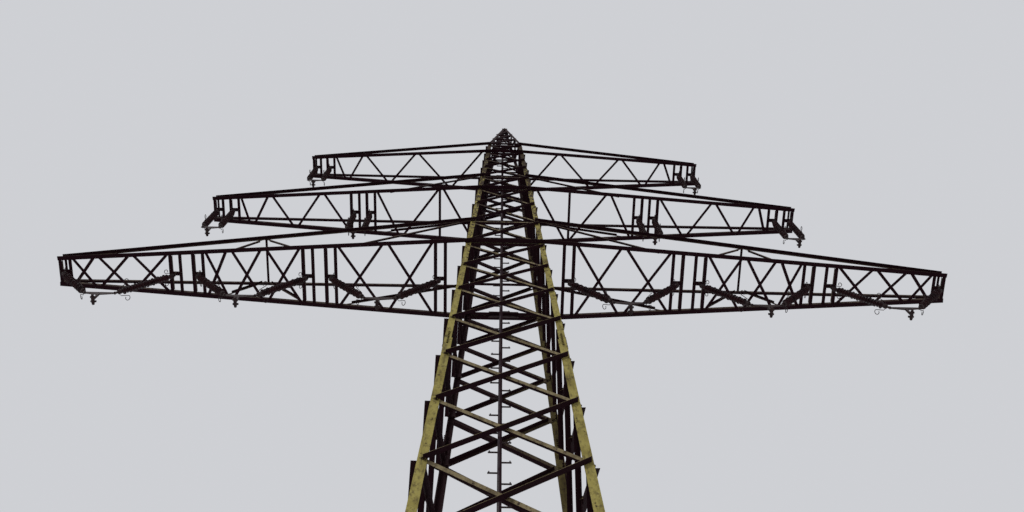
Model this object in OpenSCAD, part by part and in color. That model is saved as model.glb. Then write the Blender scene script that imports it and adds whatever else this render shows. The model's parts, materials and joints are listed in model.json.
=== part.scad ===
// Lattice transmission pylon for four circuits: a tapering square body of steel angles,
// three levels of crossarms, insulator sets that swing along the line, and a peak.
// Origin on the ground under the middle of the body, Z up, crossarms along X, line along Y.
// All lengths are in millimetres.

/* [Tower body] */
// Half width of the body at ground level, outside the legs
base_half = 1470; // [1200:10:2000]
// Height at which the four leg lines would meet
apex_height = 53500; // [48000:100:60000]
// Width of a leg angle's flange below the splice
leg_width = 130; // [120:5:160]
// Thickness of a leg angle below the splice
leg_wall = 12; // [11:1:16]
// Height of the splice between the lower and the upper leg angle
splice_height = 18000; // [17700:50:18500]
// Width of a leg angle's flange above the splice
upper_leg_width = 110; // [105:5:120]
// Thickness of a leg angle above the splice
upper_leg_wall = 10; // [10:1:12]
// Width of a body brace's flange below the splice
lower_brace_width = 80; // [60:5:85]
// Width of a body brace's flange above the splice
brace_width = 65; // [45:5:70]
// Thickness of a body brace
brace_wall = 6; // [4:1:8]
// Height of the top of the lowest bracing panel
first_panel_top = 3550; // [3000:50:4000]
// Bracing panels from there up to the bottom crossarm
panels_low = 11; // [8:1:14]
// Bracing panels between the bottom arm's root and the middle arm
panels_mid = 2; // [1:1:4]
// Bracing panels between the middle arm's root and the top arm
panels_top = 3; // [1:1:4]

/* [Footings] */
// Side of a concrete footing cap
footing_side = 720; // [500:10:1000]
// Height of a footing cap above the ground
footing_height = 260; // [150:10:500]
// Bevel around the top of a footing cap
footing_bevel = 60; // [20:5:100]
// Side of the base plate under a leg
shoe_side = 340; // [250:10:450]
// Thickness of the base plate
shoe_wall = 20; // [12:1:30]

/* [Crossarms] */
// Height of the bottom crossarm's floor
floor_bottom = 23600; // [21000:100:24500]
// Height of the middle crossarm's floor
floor_middle = 28600; // [27500:100:29500]
// Height of the top crossarm's floor
floor_top = 33400; // [32500:100:34000]
// Reach of the bottom crossarm from the middle of the body
reach_bottom = 9430; // [8900:10:9900]
// Reach of the middle crossarm
reach_middle = 7450; // [7000:10:8000]
// Reach of the top crossarm
reach_top = 5730; // [5300:10:6200]
// Depth of the bottom crossarm at the body
depth_bottom = 1800; // [1500:50:2200]
// Depth of the middle crossarm at the body
depth_middle = 1520; // [1200:20:1900]
// Depth of the top crossarm at the body
depth_top = 1280; // [1000:20:1600]
// Half width of a crossarm floor at its tip
tip_half = 240; // [160:10:350]
// Depth of a crossarm at its tip
tip_depth = 190; // [180:5:260]
// Width of a crossarm chord's flange
chord_width = 90; // [70:5:110]
// Thickness of a crossarm chord
chord_wall = 8; // [6:1:12]
// Width of the upper chord's flange
upper_width = 75; // [60:5:90]
// Thickness of the upper chord
upper_wall = 9; // [6:1:12]
// Width of the flange of the floor's diagonals and of the body's rings
rail_width = 60; // [40:5:70]
// Thickness of the floor bars
rail_wall = 6; // [4:1:8]
// Width of the flange of the pairs of floor bars over the hangers
hanger_bar = 70; // [50:5:75]
// Gap between the two floor bars over a hanger
pair_gap = 140; // [100:5:160]
// Width of the flange of the web bars between the chords
web_width = 50; // [40:5:60]
// Thickness of the web bars
web_wall = 5; // [4:1:8]
// Length of the gusset between the chords at a crossarm's tip
tip_gusset_length = 310; // [200:10:500]

/* [Insulator sets] */
// Distance from the bottom crossarm's tip to the nearest V hanger
vee_margin = 150; // [150:10:250]
// Distance between the V sets along the bottom crossarm
vee_pitch = 2800; // [2760:10:2850]
// Half the distance between the two hangers of a V set
vee_half = 1160; // [1100:10:1180]
// Half the distance between the two strings of a V set at the yoke
vee_foot = 300; // [200:10:400]
// Length of a V set's string from pin to pin
vee_length = 1460; // [1300:10:1700]
// Distance from a crossarm's tip to the middle of its last twin set
twin_margin = 350; // [350:10:450]
// Distance of the inner twin set from the middle of the body, middle crossarm
twin_inner = 3620; // [3400:20:4000]
// Half the distance between the two strings of a twin set
twin_half = 200; // [180:10:205]
// Length of a twin set's string from pin to pin
twin_length = 1500; // [1300:10:1700]
// Radius of the porcelain rod
rod_radius = 40; // [30:1:60]
// Radius of the porcelain sheds
shed_radius = 88; // [70:1:110]
// Number of sheds on a string
shed_count = 9; // [6:1:14]
// Radius of the metal cap at each end of a string
cap_radius = 48; // [30:1:60]
// Radius of the hanger pin
pin_radius = 12; // [8:0.5:16]
// Running clearance of the hanger pin
pin_play = 1; // [0.5:0.1:2]
// Thickness of the hanger plate and the yoke plate
plate_wall = 16; // [12:1:24]
// Radius of the conductor held in a clamp
conductor_radius = 11.5; // [8:0.5:18]
// Length of a conductor clamp along the line
clamp_length = 220; // [150:10:300]
// Height of the yoke pin above the conductor
clamp_drop = 320; // [200:10:360]

/* [Climbing pole] */
// Width of the climbing pole's angle
pole_width = 65; // [50:5:80]
// Thickness of the climbing pole's angle
pole_wall = 6; // [4:1:8]
// Height of the foot of the climbing pole
pole_foot = 900; // [400:50:3000]
// Height of the top of the climbing pole
pole_head = 35400; // [34000:100:36000]
// Distance between steps along the pole
step_pitch = 300; // [250:10:350]
// Length of a step
step_length = 130; // [110:5:180]
// Half the thickness of a square step bar
step_radius = 9; // [7:0.5:14]

/* [Peak] */
// Rise of the peak from the leg tops to the top of its cap plate
peak_rise = 4490; // [4000:10:4700]
// Half width of the peak under its cap
peak_half = 70; // [50:5:120]
// Width of the peak's leg angles
peak_width = 80; // [60:5:100]
// Thickness of the peak's leg angles
peak_wall = 8; // [6:1:12]
// Radius of the earth wire held in its clamp
earth_radius = 8; // [6:0.5:12]
// Length of the earth wire's clamp along the line
earth_clamp_length = 180; // [120:10:260]
// Outer radius of the earth wire's clamp
earth_clamp_radius = 26; // [20:1:40]

/* [Plate] */
// Width of the bare plate on the back face
plate_width = 640; // [400:20:800]
// Height of the bare plate
plate_height = 340; // [200:20:500]
// Thickness of the bare plate
plate_sheet = 4; // [2:0.5:6]
// Height of its top edge above the bottom crossarm's floor
plate_rise = 205; // [150:5:300]

/* [Hidden] */
$fn = 32;
// Gap between pieces that are bolted face to face
seat = 0.4;
// Depth by which bars of one lattice run into each other
bite = 1;
// Distance by which a brace runs past its bolt line
overrun = 20;
// Distance by which a chord laps over the leg
lap = 100;
// Height of the lowest brace ends above the base plate
brace_foot = 90;
// Band of the leg that a chord takes, so that no brace ends there
keep_under_bottom = 200;
keep_under_floor = 70;
keep_over_floor = chord_width + 60;
keep_under_root = chord_width + 85;
keep_over_root = 90;
// Splice angle inside the leg: its half length, width, thickness and the depth of its heel
splice_half = 280;
splice_width = 95;
splice_wall = 12;
splice_inset = 9;
splice_gap = 1.5;
// Distance of a floor diagonal's end from its node, and of a floor bar's upright flange from the chord
node_gap = 80;
cutback = 25;
// Depth of the hanger eyes below the floor, radius round the eye, the hanger's tab and its pad
hanger_eye = 75;
eye_outer = 38;
hanger_tab = 70;
hanger_pad = 90;
hanger_pad_wall = 10;
// Rise of the leg tops over the top crossarm's root
leg_over_root = 130;
// Rise of a leaning bar's end over the flat face under it, so that no corner of it reaches in
leg_clear = 4;
peak_clear = 9;
// Height below a root at which the upper chord meets the body, and its inset at the tip
root_drop = chord_width + 30;
root_inset = 2;
// Steps in depth between the crossing diagonals of a floor, as shares of the bite
high_bite = 0.7;
low_bite = 1.5;
// Gaps of the webs, the tip gussets and the upper ties to the chords that they lie on
web_slip = 0.9;
gusset_slip = 0.2;
tie_slip = 0.8;
// Distances of the webs' ends from the floor chord's upper edge and under the upper chord
web_low = 25;
web_high = 40;
// Distance of the root web's head from the body, and spread of the webs about a node
web_root = 120;
web_spread = 55;
// Distances from the reach back to the upper chord's end, the tip gusset and the last tie
upper_end = 40;
gusset_end = 20;
tie_end = 60;
gusset_gap = 12;
tie_over = 60;
// Peak: its splice plates, the place of its rings and its cap plate
peak_splice = 105;
peak_splice_wall = 8;
ring_low = 260;
ring_high = 640;
cap_wall = 12;
cap_rim = 20;
// Earth wire clamp: its foot, neck and the height of the wire over the cap plate
earth_foot = 120;
earth_foot_wall = 12;
earth_neck = 24;
earth_neck_height = 48;
earth_axis = 60;
// Climbing pole: place of its heel, how far steps run onto it, upturned tip, and ends left free
pole_left = 95;
step_lap = 3;
step_tip = 45;
step_first = 120;
step_last = 80;
stay_drop = 56;
stay_width = 36;
stay_wall = 5;
stay_inset = 15;
stay_margin = 100;
// Insulator strings: plain porcelain at the ends and the shape of a shed, as shares of the pitch
rod_end = 30;
shed_under = 0.1;
shed_edge = 0.22;
shed_over = 0.6;
// Shackles, end caps, clevis and yoke bolts
ear_wall = 9;
ear_radius = 24;
ear_width = 40;
shackle_neck = 60;
shackle_lap = 12;
shackle_wall = 16;
pin_over = 8;
string_cap = 90;
cap_stem = 20;
stem_radius = 18;
stem_lap = 2;
fork_wall = 8;
fork_width = 44;
fork_reach = 22;
bolt_radius = 14;
bolt_head = 10;
// Yoke plate: half height, overhang, half width of its lug, depth of the lug and its two holes
yoke_rim = 30;
yoke_over = 40;
yoke_lug = 45;
yoke_drop = 100;
yoke_hole = 14;
yoke_hole_drop = 5;
// Conductor clamp: its bolt under the yoke pin, body wall and saddle
clamp_bolt = 70;
clamp_wall = 17;
saddle_height = 60;
saddle_lap = 10;

floors = [floor_bottom, floor_middle, floor_top];
reaches = [reach_bottom, reach_middle, reach_top];
depths = [depth_bottom, depth_middle, depth_top];
roots = floors + depths;
leg_top = roots[2] + leg_over_root;
leg_foot = footing_height + seat;
peak_height = leg_top + peak_rise;
vee_outer = reach_bottom - vee_margin - vee_half;
vee_centre = vee_outer - vee_pitch;
vee_inner = vee_centre - vee_pitch;
twin_outer = reach_middle - twin_margin;
twin_top = reach_top - twin_margin;

// Half width of the body at a height, and the sizes that change at the leg splice
function half_at(z) = base_half * (1 - z / apex_height);
function leg_width_at(z) = z < splice_height ? leg_width : upper_leg_width;
function leg_wall_at(z) = z < splice_height ? leg_wall : upper_leg_wall;
function brace_width_at(z) = z < splice_height ? lower_brace_width : brace_width;
// Where a brace's line meets the leg at a height
function node_at(z) = half_at(z) - leg_width_at(z) / 2;
function crossing(p) = p[0] + (p[1] - p[0]) * node_at(p[0]) / (node_at(p[0]) + node_at(p[1]));
// Heights that divide a stretch of the body into panels of one shape
function panel_edge(z0, z1, n, i) =
    apex_height - (apex_height - z0) * pow((apex_height - z1) / (apex_height - z0), i / n);
function panels(z0, z1, n) =
    [for (i = [0 : n - 1]) [panel_edge(z0, z1, n, i), panel_edge(z0, z1, n, i + 1)]];
body_panels = concat(
    panels(leg_foot + shoe_wall + brace_foot, first_panel_top, 1),
    panels(first_panel_top, floors[0] - keep_under_bottom, panels_low),
    panels(floors[0] + keep_over_floor, roots[0] - keep_under_root, 1),
    panels(roots[0] + keep_over_root, floors[1] - keep_under_floor, panels_mid),
    panels(floors[1] + keep_over_floor, roots[1] - keep_under_root, 1),
    panels(roots[1] + keep_over_root, floors[2] - keep_under_floor, panels_top),
    panels(floors[2] + keep_over_floor, roots[2] - keep_under_root, 1)
);

// Vector helpers
function unit(v) = v / norm(v);
function across(v, n) = unit(v - (v * n) * n);

// Places its children with local Z from p towards q and local X as near as can be to n
module along(p, q, n) {
    z = unit(q - p);
    x = across(n, z);
    y = cross(z, x);
    multmatrix([
        [x[0], y[0], z[0], p[0]],
        [x[1], y[1], z[1], p[1]],
        [x[2], y[2], z[2], p[2]],
        [0, 0, 0, 1]
    ]) children();
}

// Rolled angle with its heel on the line p-q and one flange towards n. The other flange
// turns left of n, or right with side -1, and can stop short of both ends.
module angle_bar(p, q, n, width, wall, side = 1, short = [0, 0]) {
    span = norm(q - p);
    along(p, q, n) {
        if (short[0] == 0 && short[1] == 0) {
            linear_extrude(span) polygon([
                [0, 0],
                [width, 0],
                [width, side * wall],
                [wall, side * wall],
                [wall, side * width],
                [0, side * width]
            ]);
        } else {
            linear_extrude(span) polygon([[0, 0], [width, 0], [width, side * wall], [0, side * wall]]);
            translate([0, 0, short[0]]) linear_extrude(span - short[0] - short[1])
                polygon([[0, 0], [wall, 0], [wall, side * width], [0, side * width]]);
        }
    }
}

// Footings and legs
module footing() {
    reach = half_at(leg_foot) - leg_width / 2;
    core = footing_side / 2 - footing_bevel;
    translate([-reach, -reach, 0]) difference() {
        translate([-footing_side / 2, -footing_side / 2, 0])
            cube([footing_side, footing_side, footing_height]);
        for (turn = [0 : 90 : 270]) rotate([0, 0, turn])
            translate([core, -footing_side, footing_height]) rotate([0, 45, 0])
            cube([footing_side, 2 * footing_side, footing_side]);
    }
}

module footings() {
    color("Silver") for (turn = [0 : 90 : 270]) rotate([0, 0, turn]) footing();
}

function leg_heel(z, inset) = [inset - half_at(z), inset - half_at(z), z];

module leg() {
    reach = half_at(leg_foot) - leg_width / 2;
    splice_foot = splice_height - splice_half;
    splice_head = splice_height + splice_half;
    angle_bar(leg_heel(leg_foot + leg_clear, 0), leg_heel(splice_height, 0), [1, 0, 0], leg_width, leg_wall);
    angle_bar(
        leg_heel(splice_height + splice_gap, 0), leg_heel(leg_top, 0),
        [1, 0, 0], upper_leg_width, upper_leg_wall
    );
    angle_bar(
        leg_heel(splice_foot, splice_inset), leg_heel(splice_head, splice_inset),
        [1, 0, 0], splice_width, splice_wall
    );
    translate([-reach - shoe_side / 2, -reach - shoe_side / 2, leg_foot])
        cube([shoe_side, shoe_side, shoe_wall]);
}

module leg_front_left() {
    color("DarkKhaki") leg();
}

module leg_front_right() {
    color("DarkKhaki") rotate([0, 0, 90]) leg();
}

module leg_back_right() {
    color("DarkKhaki") rotate([0, 0, 180]) leg();
}

module leg_back_left() {
    color("DarkKhaki") rotate([0, 0, 270]) leg();
}

// Bracing of one face of the body, drawn for the front face
function face_out() = unit([0, -1, base_half / apex_height]);
function face_up() = unit([0, base_half / apex_height, 1]);
function face_point(x, z, out) = [x, -half_at(z), z] + face_out() * out;

// One brace between two points of the face. Outside the leg flanges its other flange stands out
// along its lower edge, inside them it stands in along its upper edge and stops short of the legs.
module brace(x0, z0, x1, z1, out0, out1) {
    a = face_point(x0, z0, out0);
    b = face_point(x1, z1, out1);
    run = unit(b - a);
    up = across(face_up(), run);
    heel = out0 > 0 ? -1 : 1;
    width = brace_width_at(z0);
    free = out0 > 0 ? 0 : leg_width;
    angle_bar(
        a - run * overrun + up * heel * width / 2,
        b + run * overrun + up * heel * width / 2,
        up * -heel, width, brace_wall, -heel, [free, free]
    );
}

module cross_brace(p) {
    x0 = node_at(p[0]);
    x1 = node_at(p[1]);
    pack = leg_wall_at(p[0]) + 2 * seat + 2 * bite;
    side = brace_width_at(p[0]);
    middle = face_point(0, crossing(p), seat + bite);
    brace(-x0, p[0], x1, p[1], seat, seat);
    brace(x0, p[0], -x1, p[1], -leg_wall_at(p[0]) - seat, -leg_wall_at(p[1]) - seat);
    along(middle, middle - face_out() * pack, [1, 0, 0])
        translate([-side / 2, -side / 2, 0]) cube([side, side, pack]);
}

module body_face() {
    for (p = body_panels) cross_brace(p);
}

module body_face_front() {
    color("SaddleBrown") body_face();
}

module body_face_right() {
    color("SaddleBrown") rotate([0, 0, 90]) body_face();
}

module body_face_back() {
    color("SaddleBrown") rotate([0, 0, 180]) body_face();
}

module body_face_left() {
    color("SaddleBrown") rotate([0, 0, 270]) body_face();
}

// Square ring of angles inside the legs, its vertical flanges from z upwards
module body_ring(z) {
    y = half_at(z + rail_width) - leg_wall_at(z) - seat;
    for (turn = [0 : 90 : 270]) rotate([0, 0, turn])
        angle_bar([-y, -y, z], [y, -y, z], [0, 0, 1], rail_width, rail_wall, -1);
}

module body_rings() {
    color("SaddleBrown") for (i = [0 : 2]) {
        body_ring(floors[i]);
        body_ring(roots[i] - rail_width);
    }
}

// Crossarms, drawn for the right side: the chords' inner faces, and the height of the upper one
function floor_y(i, x) =
    let (y0 = half_at(floors[i]) + seat)
    y0 + (tip_half - y0) * (x - y0) / (reaches[i] - y0);
function root_y(i, x) =
    let (y0 = half_at(roots[i] - root_drop) + seat)
    y0 + (tip_half - root_inset - y0) * (x - y0) / (reaches[i] - y0);
function root_z(i, x) =
    let (x0 = half_at(roots[i]))
    roots[i] + (floors[i] + tip_depth - roots[i]) * (x - x0) / (reaches[i] - x0);

// Floor bar across the chords, its upright flange on the side that is given
module floor_bar(i, x, width, side) {
    z = floors[i] + chord_wall - 2 * bite;
    y = floor_y(i, x) + overrun;
    angle_bar([x, -y, z], [x, y, z], [0, 0, 1], width, rail_wall, side);
}

// Plate with an eye that hangs from a pair of floor bars
module hanger(i, x) {
    top = floors[i] + chord_wall - 2 * bite - seat;
    eye = floors[i] - hanger_eye;
    pad = pair_gap + hanger_pad;
    translate([x, 0, 0]) difference() {
        union() {
            translate([-pad / 2, -hanger_pad / 2, top - hanger_pad_wall])
                cube([pad, hanger_pad, hanger_pad_wall]);
            translate([-plate_wall / 2, -hanger_tab / 2, eye])
                cube([plate_wall, hanger_tab, top - eye - bite]);
            translate([-plate_wall / 2, 0, eye]) rotate([0, 90, 0])
                cylinder(h = plate_wall, r = eye_outer);
        }
        translate([-plate_wall, 0, eye]) rotate([0, 90, 0])
            cylinder(h = 2 * plate_wall, r = pin_radius + pin_play);
    }
}

// Diagonal between two places along the chords, the one way a little higher than the other
module floor_diagonal(i, x0, x1, side) {
    z = floors[i] + chord_wall - bite * (side > 0 ? low_bite : high_bite);
    a = [x0, -side * floor_y(i, x0), z];
    b = [x1, side * floor_y(i, x1), z];
    run = unit(b - a);
    aside = cross(run, [0, 0, 1]);
    angle_bar(
        a - run * rail_width - aside * rail_width / 2,
        b + run * rail_width - aside * rail_width / 2,
        [0, 0, 1], rail_width, rail_wall
    );
}

// Bays of crossing diagonals, then of single ones by turns; the edges are shares of the stretch
module floor_crosses(i, x0, x1, edges) {
    for (k = [0 : len(edges) - 2]) for (side = [-1, 1])
        floor_diagonal(
            i, x0 + (x1 - x0) * edges[k] + node_gap, x0 + (x1 - x0) * edges[k + 1] - node_gap, side
        );
}

module floor_zigzag(i, x0, x1, edges, first) {
    for (k = [0 : len(edges) - 2])
        floor_diagonal(
            i, x0 + (x1 - x0) * edges[k] + node_gap, x0 + (x1 - x0) * edges[k + 1] - node_gap,
            first * (k % 2 == 0 ? 1 : -1)
        );
}

// Room between the chords that the floor bars are trimmed to
module floor_prism(i, grow, low, high) {
    far = reaches[i] + chord_width;
    y0 = floor_y(i, 0) + grow;
    y1 = floor_y(i, far) + grow;
    translate([0, 0, low]) linear_extrude(high - low) polygon([[0, -y0], [far, -y1], [far, y1], [0, y0]]);
}

module floor_room(i) {
    sole = floors[i] + chord_wall + rail_wall;
    floor_prism(i, chord_wall / 2, floors[i], sole);
    floor_prism(i, -cutback, sole - bite, sole + 2 * chord_width);
}

module floor_chord(i) {
    x0 = half_at(floors[i]);
    a = [x0, -floor_y(i, x0), floors[i]];
    b = [reaches[i], -floor_y(i, reaches[i]), floors[i]];
    angle_bar(a - unit(b - a) * lap, b, [0, 0, 1], chord_width, chord_wall);
}

function hanger_places(i) =
    i == 0 ? [for (c = [vee_outer, vee_centre, vee_inner]) for (k = [-1, 1]) c + k * vee_half]
    : i == 1 ? [for (c = [twin_outer, twin_inner]) for (k = [-1, 1]) c + k * twin_half]
    : [for (k = [-1, 1]) twin_top + k * twin_half];

module floor_bars(i) {
    rim = (pair_gap + hanger_bar) / 2;
    start = half_at(floors[i]) + rail_width;
    inner_start = twin_inner - twin_half - rim;
    for (x = hanger_places(i)) for (k = [-1, 1]) floor_bar(i, x + k * pair_gap / 2, hanger_bar, k);
    if (i == 0) for (c = [vee_outer, vee_centre])
        floor_crosses(i, c - vee_half + rim, c + vee_half - rim, [0, 0.39, 0.735, 1]);
    if (i == 0) floor_crosses(i, vee_inner - vee_half + rim, vee_inner + vee_half - rim, [0, 0.5, 1]);
    if (i == 1) {
        floor_zigzag(i, start, inner_start, [0, 0.344, 0.742, 1], -1);
        floor_bar(i, start + (inner_start - start) * 0.344, rail_width, 1);
        floor_zigzag(
            i, twin_inner + twin_half + rim, twin_outer - twin_half - rim,
            [0, 0.257, 0.5, 0.717, 0.885, 1], -1
        );
    }
    if (i == 2) floor_zigzag(
        i, start, twin_top - twin_half - rim, [0, 0.227, 0.447, 0.635, 0.796, 0.914, 1], 1
    );
}

module arm_floor(i) {
    floor_chord(i);
    mirror([0, 1, 0]) floor_chord(i);
    intersection() {
        floor_bars(i);
        floor_room(i);
    }
    for (x = hanger_places(i)) hanger(i, x);
}

// Upper chord of the front truss, webs down to the floor chord, and the tip gusset
module upper_chord(i) {
    x0 = half_at(roots[i]);
    x1 = reaches[i] - upper_end;
    a = [x0, -root_y(i, x0), root_z(i, x0)];
    b = [x1, -root_y(i, x1), root_z(i, x1)];
    angle_bar(a - unit(b - a) * lap, b, [0, 0, -1], upper_width, upper_wall, -1);
}

module web(i, x_low, x_high) {
    a = [x_low, -floor_y(i, x_low) + seat + web_slip, floors[i] + chord_width - web_low];
    b = [x_high, -root_y(i, x_high) - bite, root_z(i, x_high) - web_high];
    run = unit(b - a);
    up = across([0, 0, 1], run);
    turn = x_high > x_low ? -1 : 1;
    angle_bar(
        a - run * overrun + up * web_width / 2, b + run * overrun + up * web_width / 2,
        -up, web_width, web_wall, -turn, [leg_width, leg_width / 2]
    );
}

module tip_gusset(i) {
    x0 = reaches[i] - gusset_end - tip_gusset_length;
    x1 = reaches[i] - gusset_end;
    inset = seat + gusset_slip;
    z = floors[i] + chord_wall + rail_wall;
    a = [x0, -floor_y(i, x0) + inset, z];
    b = [x1, -floor_y(i, x1) + inset, z];
    along(a, b, [0, 0, 1]) translate([0, -web_wall, 0])
        cube([root_z(i, x1) - z - gusset_gap, web_wall, norm(b - a)]);
}

// Webs as pairs of shares of the reach, on the floor chord and on the upper one; 0 is the root
webs = [[[0.356, 0], [0.463, 0.557], [0.625, 0.557]], [[0.405, 0]], []];

module truss(i) {
    upper_chord(i);
    for (w = webs[i]) {
        low = w[0] * reaches[i];
        high = w[1] == 0 ? half_at(roots[i]) + web_root : w[1] * reaches[i];
        web(i, low, high + (low < high ? -web_spread : w[1] == 0 ? 0 : web_spread));
    }
    tip_gusset(i);
}

// Tie on top of the two upper chords, in their sloping plane
module upper_tie(i, x) {
    slope = unit([1, 0, root_z(i, 1) - root_z(i, 0)]);
    rise = cross(slope, [0, 1, 0]) * (seat + tie_slip);
    y = root_y(i, x) + tie_over;
    z = root_z(i, x);
    angle_bar([x, -y, z] + rise, [x, y, z] + rise, -slope, web_width, web_wall);
}

module arm_trusses(i) {
    truss(i);
    mirror([0, 1, 0]) truss(i);
    if (i == 0) upper_tie(i, webs[0][1][1] * reaches[0]);
    upper_tie(i, reaches[i] - tie_end);
}

module arm_bottom_right_floor() {
    color("Sienna") arm_floor(0);
}

module arm_bottom_left_floor() {
    color("Sienna") mirror([1, 0, 0]) arm_floor(0);
}

module arm_bottom_right_trusses() {
    color("Peru") arm_trusses(0);
}

module arm_bottom_left_trusses() {
    color("Peru") mirror([1, 0, 0]) arm_trusses(0);
}

module arm_middle_right_floor() {
    color("Sienna") arm_floor(1);
}

module arm_middle_left_floor() {
    color("Sienna") mirror([1, 0, 0]) arm_floor(1);
}

module arm_middle_right_trusses() {
    color("Peru") arm_trusses(1);
}

module arm_middle_left_trusses() {
    color("Peru") mirror([1, 0, 0]) arm_trusses(1);
}

module arm_top_right_floor() {
    color("Sienna") arm_floor(2);
}

module arm_top_left_floor() {
    color("Sienna") mirror([1, 0, 0]) arm_floor(2);
}

module arm_top_right_trusses() {
    color("Peru") arm_trusses(2);
}

module arm_top_left_trusses() {
    color("Peru") mirror([1, 0, 0]) arm_trusses(2);
}

// Peak over the body, with splice plates inside the leg tops
function peak_foot() = leg_top + seat;
function peak_top() = peak_height - cap_wall;
function peak_at(z) =
    let (w0 = half_at(peak_foot()))
    w0 + (peak_half - w0) * (z - peak_foot()) / (peak_top() - peak_foot());

module peak_leg() {
    low = peak_at(peak_foot());
    inner = low - upper_leg_wall - seat;
    foot = peak_foot() + peak_clear;
    high = peak_at(foot);
    angle_bar(
        [-high, -high, foot], [-peak_half, -peak_half, peak_top()],
        [1, 0, 0], peak_width, peak_wall
    );
    translate([-inner, -inner, peak_foot() - peak_splice])
        cube([peak_width, peak_splice_wall, 2 * peak_splice]);
    translate([-inner, -inner, peak_foot() - peak_splice])
        cube([peak_splice_wall, peak_width, 2 * peak_splice]);
}

module peak_ring(z) {
    y = peak_at(z) - peak_wall + bite;
    for (turn = [0 : 90 : 270]) rotate([0, 0, turn])
        angle_bar([-y, -y, z], [y, -y, z], [0, 0, 1], web_width, web_wall, -1);
}

module peak_diagonals(z0, z1) {
    y0 = peak_at(z0) - peak_wall + bite;
    y1 = peak_at(z1) - peak_wall + bite;
    for (turn = [0 : 90 : 270]) rotate([0, 0, turn])
        angle_bar([-y0, -y0, z0], [y1, -y1, z1], [0, 0, 1], web_width, web_wall, -1);
}

module peak() {
    ring_span = peak_top() - peak_foot() - ring_low - ring_high;
    steps = [for (k = [0 : 3]) peak_foot() + ring_low + k * ring_span / 3];
    cap = peak_half + cap_rim;
    color("Peru") {
        for (turn = [0 : 90 : 270]) rotate([0, 0, turn]) peak_leg();
        for (z = steps) peak_ring(z);
        for (k = [0 : 2]) peak_diagonals(steps[k], steps[k + 1]);
        translate([-cap, -cap, peak_top() - bite]) cube([2 * cap, 2 * cap, cap_wall + bite]);
    }
}

// Clamp that holds the earth wire on the cap plate
module earth_wire_clamp() {
    base = peak_height + seat;
    axis = base + earth_axis;
    length = earth_clamp_length;
    color("DimGray") difference() {
        union() {
            translate([-earth_foot / 2, -earth_foot / 2, base])
                cube([earth_foot, earth_foot, earth_foot_wall]);
            translate([-earth_neck / 2, -earth_foot / 2, base])
                cube([earth_neck, earth_foot, earth_neck_height]);
            translate([0, -length / 2, axis]) rotate([-90, 0, 0])
                cylinder(h = length, r = earth_clamp_radius);
        }
        translate([0, -length, axis]) rotate([-90, 0, 0]) cylinder(h = 2 * length, r = earth_radius);
    }
}

// Climbing pole in the middle of the body, steps by turns left and right, stays to the back face
module pole_step(z, side) {
    start = (side > 0 ? pole_width - pole_left : pole_left) - step_lap;
    tip = start + step_length;
    r = step_radius;
    translate([0, pole_wall / 2 + r, z]) rotate([90, 0, 0]) mirror([side > 0 ? 0 : 1, 0, 0])
        linear_extrude(2 * r) polygon([
            [start, -r], [tip, -r], [tip, step_tip], [tip - 2 * r, step_tip], [tip - 2 * r, r],
            [start, r]
        ]);
}

module pole_stay(p) {
    z = crossing(p) - stay_drop;
    x = stay_inset - pole_left;
    y = half_at(z) - leg_wall_at(p[0]) - brace_wall - 2 * seat;
    angle_bar([x, pole_wall + seat, z], [x, y, z], [1, 0, 0], stay_width, stay_wall);
}

module climbing_pole() {
    count = floor((pole_head - pole_foot - step_first - step_last) / step_pitch);
    stayed = [
        for (p = body_panels)
            if (crossing(p) > pole_foot + stay_margin && crossing(p) < pole_head - stay_margin) p
    ];
    color("Khaki") {
        angle_bar([-pole_left, 0, pole_foot], [-pole_left, 0, pole_head], [1, 0, 0], pole_width, pole_wall);
        for (k = [0 : count])
            pole_step(pole_foot + step_first + k * step_pitch, k % 2 == 0 ? -1 : 1);
        for (p = stayed) pole_stay(p);
    }
}

// Bare plate on the back face at the bottom crossarm's floor
module back_plate() {
    z = floors[0] - plate_height + plate_rise;
    a = face_point(-plate_width / 2, z, -upper_leg_wall);
    b = face_point(plate_width / 2, z, -upper_leg_wall);
    color("Gray") rotate([0, 0, 180]) along(a, b, face_up()) cube([plate_height, plate_sheet, plate_width]);
}

// Insulator string from the hanger pin at p to the yoke at q
module string_profile(body) {
    pitch = (body - 2 * rod_end) / shed_count;
    points = concat(
        [[0, 0], [rod_radius, 0]],
        [for (k = [0 : shed_count - 1]) each [
            [rod_radius, rod_end + k * pitch],
            [shed_radius, rod_end + (k + shed_under) * pitch],
            [shed_radius, rod_end + (k + shed_edge) * pitch],
            [rod_radius, rod_end + (k + shed_over) * pitch]
        ]],
        [[rod_radius, body], [0, body]]
    );
    rotate_extrude() polygon(points);
}

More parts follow.
